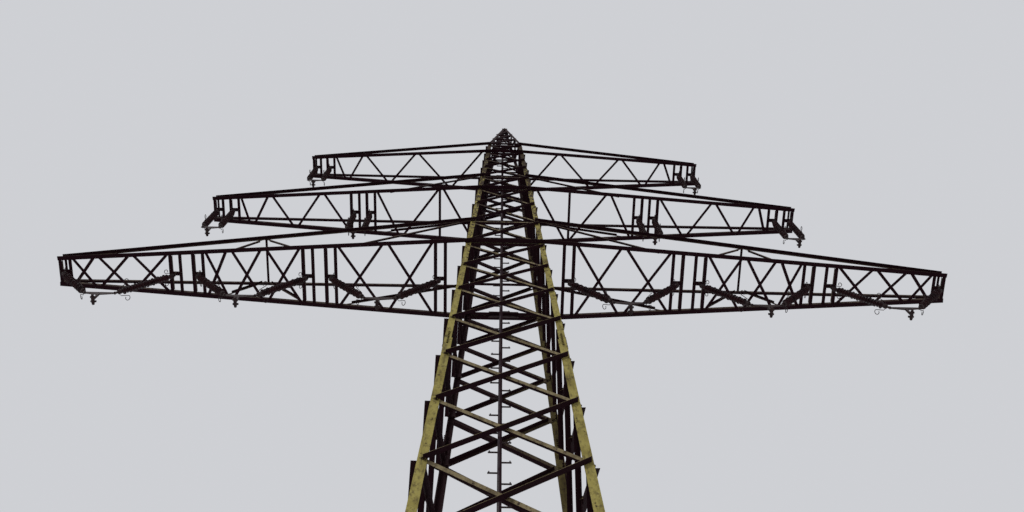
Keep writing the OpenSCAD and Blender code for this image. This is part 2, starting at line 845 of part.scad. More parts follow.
module insulator_string(p, q) {
    inner = plate_wall / 2 + pin_play;
    outer = inner + ear_wall;
    ear_height = shackle_neck + shackle_lap;
    top = [p[0], p[1], p[2] - shackle_neck];
    run = norm(q - top);
    body = run - 3 * string_cap - cap_stem + 2 * bite;
    fork = plate_wall / 2 + seat;
    // shackle round the hanger plate
    translate(p) {
        translate([-outer - pin_over, 0, 0]) rotate([0, 90, 0])
            cylinder(h = 2 * (outer + pin_over), r = pin_radius);
        for (k = [-1, 1]) translate([k * (inner + ear_wall / 2) - ear_wall / 2, 0, 0]) {
            rotate([0, 90, 0]) cylinder(h = ear_wall, r = ear_radius);
            translate([0, -ear_width / 2, -ear_height]) cube([ear_wall, ear_width, ear_height]);
        }
        translate([-outer, -ear_width / 2, -ear_height]) cube([2 * outer, ear_width, shackle_wall]);
    }
    // caps, porcelain and fork
    along(q, top, [0, 1, 0]) {
        translate([0, 0, string_cap]) cylinder(h = string_cap, r = cap_radius);
        translate([0, 0, 2 * string_cap - bite]) string_profile(body);
        translate([0, 0, run - string_cap - cap_stem]) cylinder(h = string_cap, r = cap_radius);
        translate([0, 0, run - cap_stem - stem_lap]) cylinder(h = cap_stem + stem_lap, r = stem_radius);
        for (k = [-1, 1]) {
            translate([k * (fork + fork_wall / 2) - fork_wall / 2, -fork_width / 2, -fork_reach])
                cube([fork_wall, fork_width, string_cap + fork_reach + bite]);
            translate([k * (fork + fork_wall - bite + bolt_head / 2) - bolt_head / 2, 0, 0])
                rotate([0, 90, 0]) cylinder(h = bolt_head, r = bolt_radius, $fn = 6);
        }
    }
}

// Yoke plate between the string feet, with the lug for the clamp
module yoke(half, z) {
    end = half + yoke_over;
    rotate([90, 0, 0]) translate([0, z, -plate_wall / 2]) linear_extrude(plate_wall) difference() {
        polygon([
            [-end, yoke_rim], [end, yoke_rim], [end, -yoke_rim],
            [yoke_lug, -yoke_drop], [-yoke_lug, -yoke_drop], [-end, -yoke_rim]
        ]);
        for (k = [-1, 1]) translate([k * half / 2, -yoke_hole_drop]) circle(r = yoke_hole);
    }
}

// Suspension clamp that holds the conductor, hung on both sides of the yoke
module conductor_clamp(z) {
    axis = z - clamp_bolt - clamp_drop;
    outer = conductor_radius + clamp_wall;
    strap = plate_wall / 2 + seat;
    saddle = strap + fork_wall;
    translate([0, 0, axis]) difference() {
        union() {
            translate([0, -clamp_length / 2, 0]) rotate([-90, 0, 0])
                cylinder(h = clamp_length, r = outer);
            for (k = [-1, 1])
                translate([-fork_width / 2, k * (strap + fork_wall / 2) - fork_wall / 2, 0])
                cube([fork_width, fork_wall, clamp_drop]);
            translate([-fork_width / 2, -saddle, outer - saddle_lap])
                cube([fork_width, 2 * saddle, saddle_height]);
        }
        translate([0, -clamp_length, 0]) rotate([-90, 0, 0])
            cylinder(h = 2 * clamp_length, r = conductor_radius);
    }
}

function vee_drop() = sqrt(pow(vee_length, 2) - pow(vee_half - vee_foot, 2));

module vee_set(c) {
    top = floors[0] - hanger_eye;
    low = top - vee_drop();
    color("Brown") translate([c, 0, 0]) {
        for (k = [-1, 1])
            insulator_string([k * vee_half, 0, top], [k * vee_foot, 0, low]);
        yoke(vee_foot, low);
        conductor_clamp(low);
    }
}

module twin_set(i, c) {
    top = floors[i] - hanger_eye;
    low = top - twin_length;
    color("Brown") translate([c, 0, 0]) {
        for (k = [-1, 1])
            insulator_string([k * twin_half, 0, top], [k * twin_half, 0, low]);
        yoke(twin_half, low);
        conductor_clamp(low);
    }
}

module insulators_bottom_right_outer() {
    vee_set(vee_outer);
}

module insulators_bottom_right_centre() {
    vee_set(vee_centre);
}

module insulators_bottom_right_inner() {
    vee_set(vee_inner);
}

module insulators_bottom_left_outer() {
    mirror([1, 0, 0]) vee_set(vee_outer);
}

module insulators_bottom_left_centre() {
    mirror([1, 0, 0]) vee_set(vee_centre);
}

module insulators_bottom_left_inner() {
    mirror([1, 0, 0]) vee_set(vee_inner);
}

module insulators_middle_right_outer() {
    twin_set(1, twin_outer);
}

module insulators_middle_right_inner() {
    twin_set(1, twin_inner);
}

module insulators_middle_left_outer() {
    mirror([1, 0, 0]) twin_set(1, twin_outer);
}

module insulators_middle_left_inner() {
    mirror([1, 0, 0]) twin_set(1, twin_inner);
}

module insulators_top_right() {
    twin_set(2, twin_top);
}

module insulators_top_left() {
    mirror([1, 0, 0]) twin_set(2, twin_top);
}

footings();
leg_front_left();
leg_front_right();
leg_back_right();
leg_back_left();
body_face_front();
body_face_right();
body_face_back();
body_face_left();
body_rings();
arm_bottom_right_floor();
arm_bottom_left_floor();
arm_bottom_right_trusses();
arm_bottom_left_trusses();
arm_middle_right_floor();
arm_middle_left_floor();
arm_middle_right_trusses();
arm_middle_left_trusses();
arm_top_right_floor();
arm_top_left_floor();
arm_top_right_trusses();
arm_top_left_trusses();
peak();
earth_wire_clamp();
climbing_pole();
back_plate();
insulators_bottom_right_outer();
insulators_bottom_right_centre();
insulators_bottom_right_inner();
insulators_bottom_left_outer();
insulators_bottom_left_centre();
insulators_bottom_left_inner();
insulators_middle_right_outer();
insulators_middle_right_inner();
insulators_middle_left_outer();
insulators_middle_left_inner();
insulators_top_right();
insulators_top_left();
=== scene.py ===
"""Looks of the lattice transmission pylon: weathered paint, bolts, girts, rungs and insulators."""

import json
import math

import bmesh
import bpy
from mathutils import Matrix, Vector


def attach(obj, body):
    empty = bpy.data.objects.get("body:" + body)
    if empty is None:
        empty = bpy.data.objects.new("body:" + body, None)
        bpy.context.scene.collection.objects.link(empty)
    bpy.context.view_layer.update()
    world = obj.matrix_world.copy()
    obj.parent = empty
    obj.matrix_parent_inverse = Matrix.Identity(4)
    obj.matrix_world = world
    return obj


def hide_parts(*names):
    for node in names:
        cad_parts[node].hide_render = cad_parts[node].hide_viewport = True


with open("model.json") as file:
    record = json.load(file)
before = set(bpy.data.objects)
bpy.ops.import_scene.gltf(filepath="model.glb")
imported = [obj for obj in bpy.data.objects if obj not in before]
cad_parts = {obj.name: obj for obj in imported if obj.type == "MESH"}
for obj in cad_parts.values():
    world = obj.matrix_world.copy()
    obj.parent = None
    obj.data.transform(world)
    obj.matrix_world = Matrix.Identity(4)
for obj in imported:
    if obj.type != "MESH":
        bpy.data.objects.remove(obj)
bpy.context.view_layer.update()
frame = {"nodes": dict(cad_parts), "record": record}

# Sizes of the CAD model that the pieces below are set by, in metres
BASE_HALF = 1.470
APEX_HEIGHT = 53.5
LEG_WIDTH = 0.130
LEG_WALL = 0.012
SPLICE_HEIGHT = 18.0
UPPER_LEG_WIDTH = 0.110
UPPER_LEG_WALL = 0.010
BRACE_WALL = 0.006
FIRST_PANEL_TOP = 3.550
FOOTING_HEIGHT = 0.260
SHOE_WALL = 0.020
SHOE_CLEAR = 0.090
SEAT = 0.0004
BITE = 0.001
LEVELS = ("bottom", "middle", "top")
FLOORS = (23.6, 28.6, 33.4)
REACHES = (9.43, 7.45, 5.73)
DEPTHS = (1.8, 1.52, 1.28)
ROOTS = tuple(floor + depth for floor, depth in zip(FLOORS, DEPTHS))
CHORD_WIDTH = 0.090
CHORD_WALL = 0.008
CHORD_LAP = 0.100
ROOT_DROP = CHORD_WIDTH + 0.030
ROOT_INSET = 0.002
TIP_HALF = 0.240
TIP_DEPTH = 0.190
PAIR_GAP = 0.140
HANGER_BAR = 0.070
HANGER_TAB = 0.070
HANGER_PAD = 0.090
HANGER_PAD_WALL = 0.010
RAIL_WIDTH = 0.060
RAIL_WALL = 0.006
NODE_GAP = 0.080
CUTBACK = 0.025
EYE_DROP = 0.075
EYE_HOLE = 0.013
EYE_OUTER = 0.038
VEE_HALF = 1.160
VEE_FOOT = 0.300
VEE_LENGTH = 1.460
VEE_PLACES = (("outer", 8.12), ("centre", 5.32), ("inner", 2.52))
TWIN_HALF = 0.200
TWIN_LENGTH = 1.500
TWIN_OUTER = 7.10
TWIN_INNER = 3.62
TWIN_TOP = 5.38
PLATE_WALL = 0.016
FORK_WALL = 0.008
FORK_WIDTH = 0.044
STRING_CAP = 0.090
CLAMP_BOLT = 0.070
CLAMP_DROP = 0.320
POLE_FOOT = 0.900
POLE_HEAD = 35.400
POLE_LEFT = 0.095
POLE_WIDTH = 0.065
POLE_WALL = 0.006
STEP_PITCH = 0.300
STEP_FIRST = 0.120
STEP_LAST = 0.080
STEP_LENGTH = 0.130

UP = Vector((0, 0, 1))
ALONG_LINE = Vector((0, 1, 0))

# Insulator sets: name, level, distance from the middle, half spread at the top, at the yoke, length
SETS = []
for side, sign in (("right", 1), ("left", -1)):
    for place, x in VEE_PLACES:
        SETS.append((f"bottom_{side}_{place}", 0, sign * x, VEE_HALF, VEE_FOOT, VEE_LENGTH))
    for place, x in (("outer", TWIN_OUTER), ("inner", TWIN_INNER)):
        SETS.append((f"middle_{side}_{place}", 1, sign * x, TWIN_HALF, TWIN_HALF, TWIN_LENGTH))
    SETS.append((f"top_{side}", 2, sign * TWIN_TOP, TWIN_HALF, TWIN_HALF, TWIN_LENGTH))


def half_at(z):
    """Half width of the body at a height."""
    return BASE_HALF * (1 - z / APEX_HEIGHT)


def leg_width_at(z):
    return LEG_WIDTH if z < SPLICE_HEIGHT else UPPER_LEG_WIDTH


def leg_wall_at(z):
    return LEG_WALL if z < SPLICE_HEIGHT else UPPER_LEG_WALL


def floor_y(level, x):
    """Inner face of a floor chord's upright flange, at a distance from the middle of the body."""
    y0 = half_at(FLOORS[level]) + SEAT
    return y0 + (TIP_HALF - y0) * (x - y0) / (REACHES[level] - y0)


def root_y(level, x):
    """Inner face of an upper chord's upright flange."""
    y0 = half_at(ROOTS[level] - ROOT_DROP) + SEAT
    return y0 + (TIP_HALF - ROOT_INSET - y0) * (x - y0) / (REACHES[level] - y0)


def root_z(level, x):
    """Height of the top of an upper chord."""
    x0 = half_at(ROOTS[level])
    fall = FLOORS[level] + TIP_DEPTH - ROOTS[level]
    return ROOTS[level] + fall * (x - x0) / (REACHES[level] - x0)


def hanger_places(level):
    """Where the hangers of a right crossarm sit, from the body outward."""
    return sorted(x + k * half for _, row, x, half, _, _ in SETS if row == level and x > 0 for k in (-1, 1))


# Camera: metres, degrees and millimetres, as fitted to the photograph
CAMERA_PLACE = (-0.1403, -7.6276, 1.9524)
CAMERA_PITCH = 71.847
CAMERA_YAW = 2.364
CAMERA_ROLL = -1.126
SENSOR_WIDTH = 36
FOCAL_LENGTH = 37.91
CLIP_START = 0.1
CLIP_END = 500


def make_camera():
    """Camera near the foot of the pylon, looking steeply up along the line."""
    pitch = math.radians(CAMERA_PITCH)
    yaw = math.radians(CAMERA_YAW)
    roll = math.radians(CAMERA_ROLL)
    data = bpy.data.cameras.new("photo_camera")
    data.sensor_width = SENSOR_WIDTH
    data.lens = FOCAL_LENGTH
    data.clip_start = CLIP_START
    data.clip_end = CLIP_END
    camera = bpy.data.objects.new("photo_camera", data)
    bpy.context.collection.objects.link(camera)
    ahead = Vector((math.sin(yaw) * math.cos(pitch), math.cos(yaw) * math.cos(pitch), math.sin(pitch)))
    right = Vector((math.cos(yaw), -math.sin(yaw), 0))
    up = right.cross(ahead)
    turned_right = right * math.cos(roll) + up * math.sin(roll)
    turned_up = up * math.cos(roll) - right * math.sin(roll)
    turn = Matrix((turned_right, turned_up, -ahead)).transposed().to_4x4()
    camera.matrix_world = Matrix.Translation(CAMERA_PLACE) @ turn
    bpy.context.scene.camera = camera


# Colour sockets of a Mix node, which share their names with its other sockets
MIX_FACTOR = 0
MIX_FIRST = 6
MIX_SECOND = 7
MIX_RESULT = 2


class Graph:
    """Short way to add and link shader nodes in the tree of a material or of the world."""

    def __init__(self, owner):
        owner.use_nodes = True
        self.owner = owner
        self.tree = owner.node_tree
        self.shader = self.tree.nodes.get("Principled BSDF")

    def add(self, kind, **values):
        """New node, with the values on its sockets or else on its properties."""
        node = self.tree.nodes.new(kind)
        for key, value in values.items():
            if key in node.inputs:
                node.inputs[key].default_value = value
            else:
                setattr(node, key, value)
        return node

    def put(self, value, socket):
        """Links an output to the socket, or sets the socket to a number or colour."""
        if isinstance(value, bpy.types.NodeSocket):
            self.tree.links.new(value, socket)
        elif isinstance(value, tuple):
            socket.default_value = (*value, 1)
        else:
            socket.default_value = value

    def coordinates(self, output):
        return self.add("ShaderNodeTexCoord").outputs[output]

    def component(self, output, axis):
        split = self.add("ShaderNodeSeparateXYZ")
        self.put(self.coordinates(output), split.inputs["Vector"])
        return split.outputs[axis]

    def facing(self, axis):
        """Component of the surface normal along an axis of the object, from -1 to 1."""
        return self.component("Normal", axis)

    def position(self, axis):
        """Coordinate of the shaded point along an axis of the object, in metres."""
        return self.component("Object", axis)

    def outward(self):
        """Component of the normal away from the body's middle line, from -1 to 1."""
        flat = self.add("ShaderNodeVectorMath", operation="MULTIPLY")
        flat.inputs[1].default_value = (1, 1, 0)
        self.put(self.coordinates("Object"), flat.inputs[0])
        aim = self.add("ShaderNodeVectorMath", operation="NORMALIZE")
        self.put(flat.outputs["Vector"], aim.inputs[0])
        dot = self.add("ShaderNodeVectorMath", operation="DOT_PRODUCT")
        self.put(aim.outputs["Vector"], dot.inputs[0])
        self.put(self.coordinates("Normal"), dot.inputs[1])
        return dot.outputs["Value"]

    def noise(self, scale, detail, roughness, stretch=(1, 1, 1)):
        mapping = self.add("ShaderNodeMapping")
        mapping.inputs["Scale"].default_value = stretch
        self.put(self.coordinates("Object"), mapping.inputs["Vector"])
        node = self.add("ShaderNodeTexNoise", Scale=scale, Detail=detail, Roughness=roughness)
        self.put(mapping.outputs["Vector"], node.inputs["Vector"])
        return node.outputs["Fac"]

    def ramp(self, source, stops):
        """Colour ramp through (position, colour) stops."""
        node = self.add("ShaderNodeValToRGB")
        elements = node.color_ramp.elements
        for element, (position, colour) in zip(elements, (stops[0], stops[-1])):
            element.position = position
            element.color = (*colour, 1)
        for position, colour in stops[1:-1]:
            elements.new(position).color = (*colour, 1)
        self.put(source, node.inputs["Fac"])
        return node.outputs["Color"]

    def band(self, source, low, high, to_low=0.0, to_high=1.0):
        """Maps low to high onto to_low to to_high, and holds the ends beyond them."""
        node = self.add("ShaderNodeMapRange")
        ends = {"From Min": low, "From Max": high, "To Min": to_low, "To Max": to_high}
        for name, value in ends.items():
            node.inputs[name].default_value = value
        self.put(source, node.inputs["Value"])
        return node.outputs["Result"]

    def combine(self, operation, first, second):
        node = self.add("ShaderNodeMath", operation=operation)
        self.put(first, node.inputs[0])
        self.put(second, node.inputs[1])
        return node.outputs["Value"]

    def times(self, first, second):
        return self.combine("MULTIPLY", first, second)

    def layer(self, colour, mask, strength, tint):
        """Lays a tint over a colour where the mask is set, as thick as the strength says."""
        node = self.add("ShaderNodeMix", data_type="RGBA")
        self.put(self.times(mask, strength), node.inputs[MIX_FACTOR])
        self.put(colour, node.inputs[MIX_FIRST])
        self.put(tint, node.inputs[MIX_SECOND])
        return node.outputs[MIX_RESULT]

    def surface(self, colour, roughness, specular=0.5, coat=0.0):
        self.put(colour, self.shader.inputs["Base Color"])
        self.put(roughness, self.shader.inputs["Roughness"])
        self.put(specular, self.shader.inputs["Specular IOR Level"])
        self.put(coat, self.shader.inputs["Coat Weight"])

    def bump(self, height, strength, distance):
        node = self.add("ShaderNodeBump", Strength=strength, Distance=distance)
        self.put(height, node.inputs["Height"])
        self.put(node.outputs["Normal"], self.shader.inputs["Normal"])


def new_material(name):
    return Graph(bpy.data.materials.new(name))


# Colours of what lies on the steel; the dirt colour also serves for painted shade
DIRT_AND_SHADE = (0.013, 0.0032, 0.006)
STAIN = (0.045, 0.03, 0.02)
LICHEN = (0.4, 0.36, 0.16)
RUST = (0.12, 0.05, 0.028)
# Bands of the normal that turn downward and inward, which get painted shade, and that turn to the light,
# with where that lit side starts
DOWNWARD = (0.1, -0.3)
INWARD = (0.1, -0.15)
LIT_FACE = (-0.5, -0.8)
LIT_SIDE = (-0.2, 0.3)
# Heights between which the paint gets darker, and over which the pole's painted lit strip fades out
DARKENING_HEIGHTS = (19, 33)
STRIP_HEIGHTS = (8, 16)
# Left and right edge of the pole's pale strip, its painted lit side; right of it the pole is painted in
# shade
STRIP_LEFT = (-0.102, -0.096)
STRIP_RIGHT = (-0.068, -0.060)
STEEL_SPECULAR = 0.06
METAL_SPECULAR = 0.12


def painted_steel(name, base, pale, under_shade, lichen, stain=0.6, inner_shade=0.0):
    """Old paint: blotches, stains, lichen, dirt streaks and rust flecks; painted shade on what faces down or
    inward, less where it faces the light.
    """
    g = new_material(name)
    blotch = g.noise(2.3, 5, 0.65)
    fine = g.noise(38, 4, 0.7)
    streak = g.noise(9, 3, 0.6, (1, 1, 0.12))
    stains = g.noise(19, 5, 0.72, (1, 1, 0.45))
    flecks = g.noise(21, 5, 0.7)
    # Mottled darkening that grows between these heights
    rise = g.band(g.position("Z"), *DARKENING_HEIGHTS, 0, 0.26)
    high_darkening = g.combine("ADD", g.noise(16, 4, 0.7, (1, 1, 0.5)), rise)
    layers = [
        (g.band(stains, 0.5, 0.66), stain, STAIN),
        (g.times(g.band(fine, 0.56, 0.66), g.band(blotch, 0.42, 0.6)), lichen, LICHEN),
        (g.band(streak, 0.52, 0.68), 0.5, DIRT_AND_SHADE),
        (g.band(flecks, 0.66, 0.74), 0.6, RUST),
    ]
    if inner_shade:
        # Painted shade on faces turned inward to the body, lighter where they face the light on the
        # right-hand side
        lit_faces = g.times(
            g.band(g.position("X"), *LIT_SIDE), g.band(g.facing("Y"), *LIT_FACE),
        )
        inner_shade_mask = g.times(g.band(g.outward(), *INWARD), g.band(lit_faces, 0, 1, 1, 0.62))
        layers.append((inner_shade_mask, inner_shade, DIRT_AND_SHADE))
    layers.append((g.band(high_darkening, 0.6, 0.68), 0.92, DIRT_AND_SHADE))
    # Painted shade on what faces down
    layers.append((g.band(g.facing("Z"), *DOWNWARD), under_shade, DIRT_AND_SHADE))
    colour = g.ramp(blotch, ((0.3, base), (0.55, pale), (0.75, base)))
    for mask, strength, tint in layers:
        colour = g.layer(colour, mask, strength, tint)
    g.surface(colour, g.band(fine, 0.3, 0.7, 0.66, 0.92), STEEL_SPECULAR)
    g.bump(fine, 0.35, 0.002)
    return g.owner


def pole_steel():
    """Pale patches on a strip of the pole low down, painted light of its lit side; painted shade on the rest
    of it.
    """
    g = new_material("pole_paint")
    patches = g.noise(2.6, 5, 0.7, (1, 1, 0.6))
    shades = ((0.4, (0.026, 0.014, 0.02)), (0.5, (0.25, 0.24, 0.27)), (0.62, (0.3, 0.28, 0.26)))
    colour = g.ramp(patches, shades)
    # Small stains all over; outside the strip, above it and on what faces down, painted shade
    for mask, strength, tint in (
        (g.band(g.noise(30, 4, 0.7), 0.5, 0.62), 0.7, STAIN),
        (g.band(g.position("X"), *STRIP_RIGHT), 0.93, DIRT_AND_SHADE),
        (g.band(g.position("X"), *STRIP_LEFT, 1, 0), 0.93, DIRT_AND_SHADE),
        (g.band(g.position("Z"), *STRIP_HEIGHTS), 0.8, DIRT_AND_SHADE),
        (g.band(g.facing("Z"), *DOWNWARD), 0.97, DIRT_AND_SHADE),
    ):
        colour = g.layer(colour, mask, strength, tint)
    g.surface(colour, 0.85, STEEL_SPECULAR)
    g.bump(patches, 0.3, 0.002)
    return g.owner


def concrete():
    """Blotched concrete with pores and a little moss."""
    g = new_material("weathered_concrete")
    blotch = g.noise(3.5, 6, 0.65)
    grit = g.noise(140, 3, 0.6)
    shades = ((0.3, (0.3, 0.29, 0.26)), (0.52, (0.47, 0.45, 0.41)), (0.72, (0.56, 0.54, 0.5)))
    colour = g.ramp(blotch, shades)
    colour = g.layer(colour, g.band(grit, 0.62, 0.7), 0.5, (0.2, 0.19, 0.17))
    colour = g.layer(colour, g.band(g.noise(7, 5, 0.6), 0.55, 0.7), 0.5, (0.16, 0.18, 0.08))
    g.surface(colour, 0.92)
    g.bump(grit, 0.5, 0.004)
    return g.owner


def glaze():
    """Dark brown glaze, dusty on top."""
    g = new_material("brown_glaze")
    blotch = g.noise(5, 4, 0.6)
    colour = g.ramp(blotch, ((0.35, (0.01, 0.0025, 0.004)), (0.6, (0.026, 0.007, 0.009))))
    colour = g.layer(colour, g.band(g.facing("Z"), 0.2, 0.9), 0.07, (0.2, 0.15, 0.12))
    g.surface(colour, g.band(blotch, 0.3, 0.7, 0.3, 0.5), METAL_SPECULAR, 0.03)
    return g.owner


def galvanised():
    """Dull zinc with rust coming through."""
    g = new_material("weathered_galvanising")
    blotch = g.noise(14, 5, 0.65)
    colour = g.ramp(blotch, ((0.35, (0.012, 0.006, 0.008)), (0.6, (0.035, 0.022, 0.022))))
    colour = g.layer(colour, g.band(g.noise(30, 4, 0.7), 0.58, 0.7), 0.5, (0.06, 0.024, 0.014))
    g.surface(colour, g.band(blotch, 0.3, 0.7, 0.5, 0.75), METAL_SPECULAR)
    g.bump(blotch, 0.25, 0.002)
    return g.owner


MATERIALS = {
    "leg_paint": painted_steel(
        "olive_leg_paint", (0.2, 0.165, 0.042), (0.32, 0.275, 0.08),
        under_shade=0.99, lichen=0.75, stain=0.65, inner_shade=0.99,
    ),
    # The braces' base colours are the legs' olive made darker: painted shade, for braces seen from below
    "brace_paint": painted_steel(
        "brace_paint", (0.12, 0.095, 0.05), (0.22, 0.18, 0.1),
        under_shade=0.99, lichen=0.5, stain=0.8, inner_shade=0.95,
    ),
    "arm_paint": painted_steel(
        "arm_paint", (0.04, 0.028, 0.022), (0.08, 0.058, 0.042),
        under_shade=0.99, lichen=0.3,
    ),
    "pole_paint": pole_steel(),
    "plate_paint": painted_steel(
        "plate_paint", (0.03, 0.02, 0.025), (0.05, 0.04, 0.04),
        under_shade=0.9, lichen=0.2,
    ),
    "concrete": concrete(),
    "fittings": galvanised(),
    "porcelain": glaze(),
}

for part in frame["record"]["subparts"]:
    frame_object = frame["nodes"][part["node"]]
    frame_object.data.materials.clear()
    frame_object.data.materials.append(MATERIALS[part["material_slot"]])


# Mesh helpers
def finish_mesh(mesh, name, slot, body, replaced=()):
    """Turns a bmesh into a piece with its material, riding on its body."""
    data = bpy.data.meshes.new(name)
    mesh.to_mesh(data)
    mesh.free()
    piece = bpy.data.objects.new(name, data)
    bpy.context.collection.objects.link(piece)
    data.materials.append(MATERIALS[slot])
    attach(piece, body)
    if replaced:
        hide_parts(*replaced)
    return piece


def basis(ahead, hint):
    """Rotation with local Z ahead and local X as near as can be to the hint."""
    z = ahead.normalized()
    x = (hint - hint.dot(z) * z).normalized()
    return Matrix((x, z.cross(x), z)).transposed().to_4x4()


def shift(x, y, z):
    return Matrix.Translation((x, y, z))


def add_ring(mesh, place, radius, height, sides):
    """Points of a circle about local Z of a 4x4 place."""
    step = 2 * math.pi / sides
    return [
        mesh.verts.new(place @ Vector((radius * math.cos(step * k), radius * math.sin(step * k), height)))
        for k in range(sides)
    ]


def add_skin(mesh, rings):
    """Faces between each ring of points and the next."""
    for low, high in zip(rings, rings[1:]):
        for k in range(len(low)):
            after = (k + 1) % len(low)
            mesh.faces.new((low[k], low[after], high[after], high[k]))


def add_tube(mesh, rings):
    """Skin over rings of points, closed at both ends."""
    add_skin(mesh, rings)
    mesh.faces.new(reversed(rings[0]))
    mesh.faces.new(rings[-1])


def add_lathe(mesh, place, profile, sides=24):
    """Surface of revolution about local Z through (radius, height) points, closed at its ends."""
    add_tube(mesh, [add_ring(mesh, place, radius, height, sides) for radius, height in profile])


def add_prism(mesh, place, radius, height, sides=6):
    """Prism on the local XY plane of a 4x4 place, standing up local Z."""
    add_lathe(mesh, place, ((radius, 0), (radius, height)), sides)


# Directions that no bolt or rod runs along, so that they can turn its sides
BOLT_HINT = Vector((0.31, 0.52, 0.79))
ROD_HINT = Vector((0.13, 0.91, 0.39))


def add_rod(mesh, points, radius, sides=8):
    """Round rod along a list of points."""
    rings = []
    for k, point in enumerate(points):
        before = points[max(k - 1, 0)]
        after = points[min(k + 1, len(points) - 1)]
        place = Matrix.Translation(point) @ basis(after - before, ROD_HINT)
        rings.append(add_ring(mesh, place, radius, 0, sides))
    add_tube(mesh, rings)


def add_box(mesh, place, low, high):
    """Box between two corners in the local axes of a 4x4 place."""
    points = [mesh.verts.new(place @ Vector((x, y, z)))
              for z in (low[2], high[2]) for y in (low[1], high[1]) for x in (low[0], high[0])]
    for face in ((0, 2, 3, 1), (4, 5, 7, 6), (0, 1, 5, 4), (2, 6, 7, 3), (0, 4, 6, 2), (1, 3, 7, 5)):
        mesh.faces.new([points[k] for k in face])


def add_plate(mesh, p, q, hint, low, high, cuts=()):
    """Flat bar along p-q between two local (x, y) corners, cut off beyond planes (point, normal)."""
    bar = bmesh.new()
    place = Matrix.Translation(p) @ basis(q - p, hint)
    add_box(bar, place, (low[0], low[1], 0), (high[0], high[1], (q - p).length))
    for point, normal in cuts:
        bmesh.ops.bisect_plane(
            bar, geom=bar.verts[:] + bar.edges[:] + bar.faces[:],
            plane_co=point, plane_no=normal, clear_outer=True,
        )
        bmesh.ops.holes_fill(bar, edges=[edge for edge in bar.edges if edge.is_boundary])
    bmesh.ops.recalc_face_normals(bar, faces=bar.faces[:])
    data = bpy.data.meshes.new("bar")
    bar.to_mesh(data)
    bar.free()
    mesh.from_mesh(data)
    bpy.data.meshes.remove(data)


def add_angle(mesh, p, q, hint, width, wall, side=1, cuts=(), short_cuts=()):
    """Rolled angle with its heel on p-q: the flange towards the hint takes the short cuts."""
    add_plate(mesh, p, q, hint, (0, min(0, side * width)), (wall, max(0, side * width)), cuts)
    add_plate(mesh, p, q, hint, (wall, min(0, side * wall)), (width, max(0, side * wall)), short_cuts)


BOLT_RADIUS = 0.016
BOLT_HEAD = 0.012
WASHER_WALL = 0.003
WASHER_SPREAD = 1.35
WASHER_SIDES = 10
SHANK_SHARE = 0.5
SHANK_LENGTH = 0.008
SHANK_SIDES = 8


def add_bolt(mesh, point, ahead, radius=BOLT_RADIUS):
    """Washer, hexagon head and the end of the shank, standing on a surface."""
    place = Matrix.Translation(point) @ basis(ahead, BOLT_HINT)
    add_prism(mesh, place, radius * WASHER_SPREAD, WASHER_WALL, WASHER_SIDES)
    add_prism(mesh, place @ shift(0, 0, WASHER_WALL), radius, BOLT_HEAD)
    tip = place @ shift(0, 0, WASHER_WALL + BOLT_HEAD)
    add_prism(mesh, tip, radius * SHANK_SHARE, SHANK_LENGTH, SHANK_SIDES)


def add_bolt_pair(mesh, point, ahead, front, back):
    """Head and nut of one bolt, these distances ahead of the point and behind it."""
    add_bolt(mesh, point + ahead * front, ahead)
    add_bolt(mesh, point - ahead * back, -ahead)


# Body panels, as in the CAD model
def panel_edges(z0, z1, count):
    """Lower and upper edge of panels whose heights follow the taper of the body."""
    ratio = (APEX_HEIGHT - z1) / (APEX_HEIGHT - z0)
    edges = [APEX_HEIGHT - (APEX_HEIGHT - z0) * ratio ** (k / count) for k in range(count + 1)]
    return list(zip(edges, edges[1:]))


UNDER_BOTTOM = 0.200
UNDER_FLOOR = 0.070
OVER_FLOOR = CHORD_WIDTH + 0.060
UNDER_ROOT = CHORD_WIDTH + 0.085
OVER_ROOT = 0.090
PANELS = (
    panel_edges(FOOTING_HEIGHT + SEAT + SHOE_WALL + SHOE_CLEAR, FIRST_PANEL_TOP, 1)
    + panel_edges(FIRST_PANEL_TOP, FLOORS[0] - UNDER_BOTTOM, 11)
    + panel_edges(FLOORS[0] + OVER_FLOOR, ROOTS[0] - UNDER_ROOT, 1)
    + panel_edges(ROOTS[0] + OVER_ROOT, FLOORS[1] - UNDER_FLOOR, 2)
    + panel_edges(FLOORS[1] + OVER_FLOOR, ROOTS[1] - UNDER_ROOT, 1)
    + panel_edges(ROOTS[1] + OVER_ROOT, FLOORS[2] - UNDER_FLOOR, 3)
    + panel_edges(FLOORS[2] + OVER_FLOOR, ROOTS[2] - UNDER_ROOT, 1)
)
FACE_OUT = Vector((0, -1, BASE_HALF / APEX_HEIGHT)).normalized()

# Bolts of the body: steps along a brace, up a splice and round an anchor plate
BRACE_STEPS = (-0.005, 0.040)
SPLICE_STEPS = (-0.230, -0.165, -0.100, -0.035, 0.035, 0.100, 0.165, 0.230)
SPLICE_INSET = 0.060
SPLICE_WALL = 0.0215
ANCHOR_STEPS = (-0.135, 0.135)
ANCHOR_RADIUS = 0.020


def face_point(x, z):
    """Point on the outer plane of the front face's leg flanges."""
    return Vector((x, -half_at(z), z))


